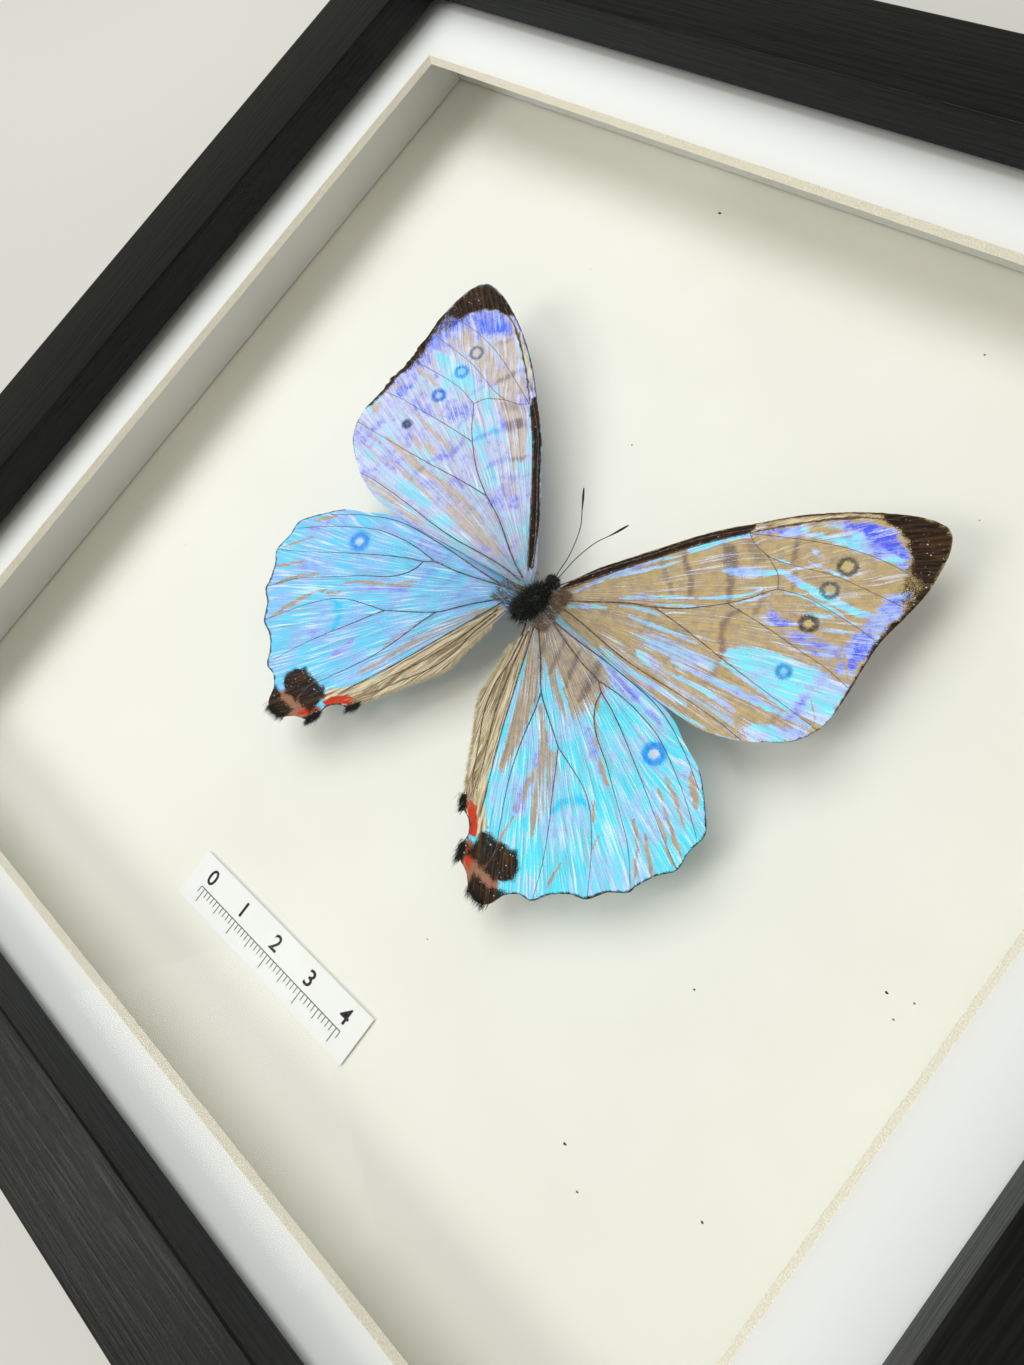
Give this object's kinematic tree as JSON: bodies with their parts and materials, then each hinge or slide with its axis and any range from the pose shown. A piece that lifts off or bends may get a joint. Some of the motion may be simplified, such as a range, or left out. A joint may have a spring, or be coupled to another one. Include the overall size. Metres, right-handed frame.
{
  "type": "framed butterfly specimen",
  "caption": "Spread pearly blue butterfly set in the white well of a black, glazed and matted shadow box frame, with a plain label card.",
  "frame": {"origin": "centre of the frame's back plane", "axes": "+Z out of the glass, +Y towards the top rail, +X towards the right rail"},
  "size_m": [0.25, 0.25, 0.045],
  "materials": {
    "black_paint": "black lacquer over fibreboard with a fine pebbled texture",
    "clear_glass": "clear float glass",
    "mat_card": "cool white mat board with a cream core at the bevel",
    "well_card": "off-white paper faced foam board",
    "back_fibre": "smooth brown hardboard",
    "label_paper": "white printed card",
    "steel": "zinc plated steel",
    "wing_scales": "pearly blue and ochre wing scales",
    "body_hair": "black hair over a dark horny body"
  },
  "bodies": {
    "root": {"rail_left": "black_paint", "rail_right": "black_paint", "rail_top": "black_paint", "rail_bottom": "black_paint", "glass_pane": "clear_glass", "mat_board": "mat_card", "well_strip_left": "well_card", "well_strip_right": "well_card", "well_strip_top": "well_card", "well_strip_bottom": "well_card", "mount_board": "well_card", "back_panel": "back_fibre", "tab_left_1": "steel", "tab_left_2": "steel", "tab_right_1": "steel", "tab_right_2": "steel", "tab_top_1": "steel", "tab_top_2": "steel", "tab_bottom_1": "steel", "tab_bottom_2": "steel", "hanger_plate": "steel", "hanger_screw_1": "steel", "hanger_screw_2": "steel", "label_card": "label_paper", "specimen_riser": "well_card", "body": "body_hair", "antenna_left": "body_hair", "antenna_right": "body_hair", "hind_leg": "body_hair", "forewing_left": "wing_scales", "forewing_right": "wing_scales", "hindwing_left": "wing_scales", "hindwing_right": "wing_scales"}
  },
  "joints": []
}
